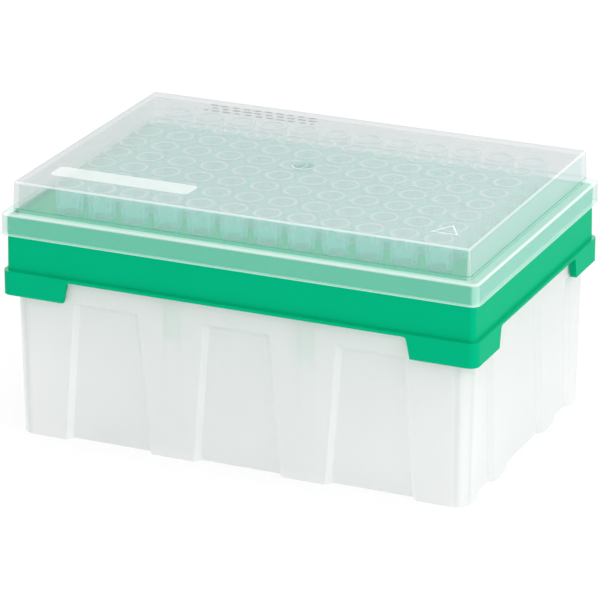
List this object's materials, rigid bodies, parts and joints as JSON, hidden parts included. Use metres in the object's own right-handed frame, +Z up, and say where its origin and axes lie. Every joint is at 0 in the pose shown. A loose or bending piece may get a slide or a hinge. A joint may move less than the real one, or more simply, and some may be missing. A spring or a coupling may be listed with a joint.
{
  "type": "pipette tip box",
  "caption": "Closed box of pipette tips: frosted tub, green rack full of hollow tips hanging in a grid, and a clear lift-off lid.",
  "frame": {"origin": "centre of the tub's feet, on the surface that the box stands on", "axes": "+Z up, +X along the box's long side, +Y from the front to the back"},
  "size_m": [0.1276, 0.0848, 0.067],
  "materials": {
    "frosted_polypropylene": "frosted, translucent, nearly colourless",
    "green_polypropylene": "opaque green, satin",
    "clear_polypropylene": "clear with a slight haze, glossy",
    "tip_polypropylene": "clear with a slight haze, glossy"
  },
  "bodies": {
    "base": {"tub": "frosted_polypropylene"},
    "rack_and_tips": {"rack": "green_polypropylene", "tips_column_01": "tip_polypropylene", "tips_column_02": "tip_polypropylene", "tips_column_03": "tip_polypropylene", "tips_column_04": "tip_polypropylene", "tips_column_05": "tip_polypropylene", "tips_column_06": "tip_polypropylene", "tips_column_07": "tip_polypropylene", "tips_column_08": "tip_polypropylene", "tips_column_09": "tip_polypropylene", "tips_column_10": "tip_polypropylene", "tips_column_11": "tip_polypropylene", "tips_column_12": "tip_polypropylene"},
    "cover": {"lid": "clear_polypropylene"}
  },
  "joints": [
    {"name": "rack_lift", "type": "slide", "parent": "base", "child": "rack_and_tips", "axis": [0, 0, 1], "range_m": [0, 0.05]},
    {"name": "lid_lift", "type": "slide", "parent": "rack_and_tips", "child": "cover", "axis": [0, 0, 1], "range_m": [0, 0.05]}
  ]
}
